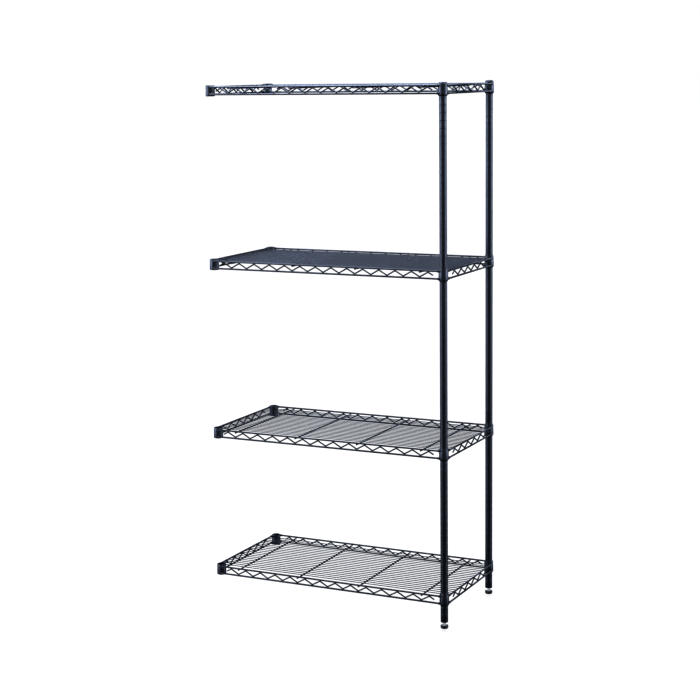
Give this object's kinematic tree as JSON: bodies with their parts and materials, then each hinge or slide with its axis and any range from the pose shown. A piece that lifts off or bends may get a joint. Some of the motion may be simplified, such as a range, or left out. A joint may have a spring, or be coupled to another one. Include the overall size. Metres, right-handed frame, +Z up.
{
  "type": "wire shelving add-on unit",
  "caption": "Open wire shelving bay with levelling feet and posts at one end; the open collars at the other end slide onto the posts of a neighbouring bay.",
  "frame": {"origin": "on the floor, under the middle of the shelves' outline", "axes": "+X along the shelves to the end with the posts, +Y from front to back, +Z up along the posts"},
  "size_m": [0.914, 0.457, 1.8545],
  "materials": {
    "black_powder_coat": "semi-gloss black powder coat with a slight orange-peel texture",
    "black_plastic": "moulded black plastic, matt",
    "zinc_plated_steel": "bright zinc plate"
  },
  "bodies": {
    "posts": {"back_foot_insert": "black_plastic", "back_post": "black_powder_coat", "back_post_cap": "black_plastic", "front_foot_insert": "black_plastic", "front_post": "black_powder_coat", "front_post_cap": "black_plastic", "shelf_1_back_sleeve": "black_plastic", "shelf_1_front_sleeve": "black_plastic", "shelf_2_back_sleeve": "black_plastic", "shelf_2_front_sleeve": "black_plastic", "shelf_3_back_sleeve": "black_plastic", "shelf_3_front_sleeve": "black_plastic", "shelf_4_back_sleeve": "black_plastic", "shelf_4_front_sleeve": "black_plastic"},
    "shelf_1": {"shelf_1_back_left_collar": "black_powder_coat", "shelf_1_back_right_collar": "black_powder_coat", "shelf_1_back_truss": "black_powder_coat", "shelf_1_deck": "black_powder_coat", "shelf_1_front_left_collar": "black_powder_coat", "shelf_1_front_right_collar": "black_powder_coat", "shelf_1_front_truss": "black_powder_coat", "shelf_1_left_truss": "black_powder_coat", "shelf_1_right_truss": "black_powder_coat"},
    "shelf_2": {"shelf_2_back_left_collar": "black_powder_coat", "shelf_2_back_right_collar": "black_powder_coat", "shelf_2_back_truss": "black_powder_coat", "shelf_2_deck": "black_powder_coat", "shelf_2_front_left_collar": "black_powder_coat", "shelf_2_front_right_collar": "black_powder_coat", "shelf_2_front_truss": "black_powder_coat", "shelf_2_left_truss": "black_powder_coat", "shelf_2_right_truss": "black_powder_coat"},
    "shelf_3": {"shelf_3_back_left_collar": "black_powder_coat", "shelf_3_back_right_collar": "black_powder_coat", "shelf_3_back_truss": "black_powder_coat", "shelf_3_deck": "black_powder_coat", "shelf_3_front_left_collar": "black_powder_coat", "shelf_3_front_right_collar": "black_powder_coat", "shelf_3_front_truss": "black_powder_coat", "shelf_3_left_truss": "black_powder_coat", "shelf_3_right_truss": "black_powder_coat"},
    "shelf_4": {"shelf_4_back_left_collar": "black_powder_coat", "shelf_4_back_right_collar": "black_powder_coat", "shelf_4_back_truss": "black_powder_coat", "shelf_4_deck": "black_powder_coat", "shelf_4_front_left_collar": "black_powder_coat", "shelf_4_front_right_collar": "black_powder_coat", "shelf_4_front_truss": "black_powder_coat", "shelf_4_left_truss": "black_powder_coat", "shelf_4_right_truss": "black_powder_coat"},
    "front_foot_base": {"front_foot_pad": "black_plastic"},
    "front_foot_screw": {"front_foot_stem": "zinc_plated_steel"},
    "back_foot_base": {"back_foot_pad": "black_plastic"},
    "back_foot_screw": {"back_foot_stem": "zinc_plated_steel"}
  },
  "joints": [
    {"name": "shelf_1_lift", "type": "slide", "parent": "posts", "child": "shelf_1", "axis": [0, 0, 1], "range_m": [0, 0.06]},
    {"name": "shelf_2_lift", "type": "slide", "parent": "posts", "child": "shelf_2", "axis": [0, 0, 1], "range_m": [0, 0.56]},
    {"name": "shelf_3_lift", "type": "slide", "parent": "posts", "child": "shelf_3", "axis": [0, 0, 1], "range_m": [0, 0.56]},
    {"name": "shelf_4_lift", "type": "slide", "parent": "posts", "child": "shelf_4", "axis": [0, 0, 1], "range_m": [0, 0.46]},
    {"name": "front_foot_travel", "type": "slide", "parent": "posts", "child": "front_foot_base", "axis": [0, 0, -1], "range_m": [-0.00475, 0.0095]},
    {"name": "front_foot_turn", "type": "hinge", "parent": "front_foot_base", "child": "front_foot_screw", "pos_m": [0.439, -0.2105, 0.008], "axis": [0, 0, -1], "range_deg": [-1080, 2160]},
    {"name": "back_foot_travel", "type": "slide", "parent": "posts", "child": "back_foot_base", "axis": [0, 0, -1], "range_m": [-0.00475, 0.0095]},
    {"name": "back_foot_turn", "type": "hinge", "parent": "back_foot_base", "child": "back_foot_screw", "pos_m": [0.439, 0.2105, 0.008], "axis": [0, 0, -1], "range_deg": [-1080, 2160]}
  ],
  "couplings": [
    {"joint": "front_foot_turn", "follows": "front_foot_travel", "rad_per_m": 3957.9},
    {"joint": "back_foot_turn", "follows": "back_foot_travel", "rad_per_m": 3957.9}
  ]
}
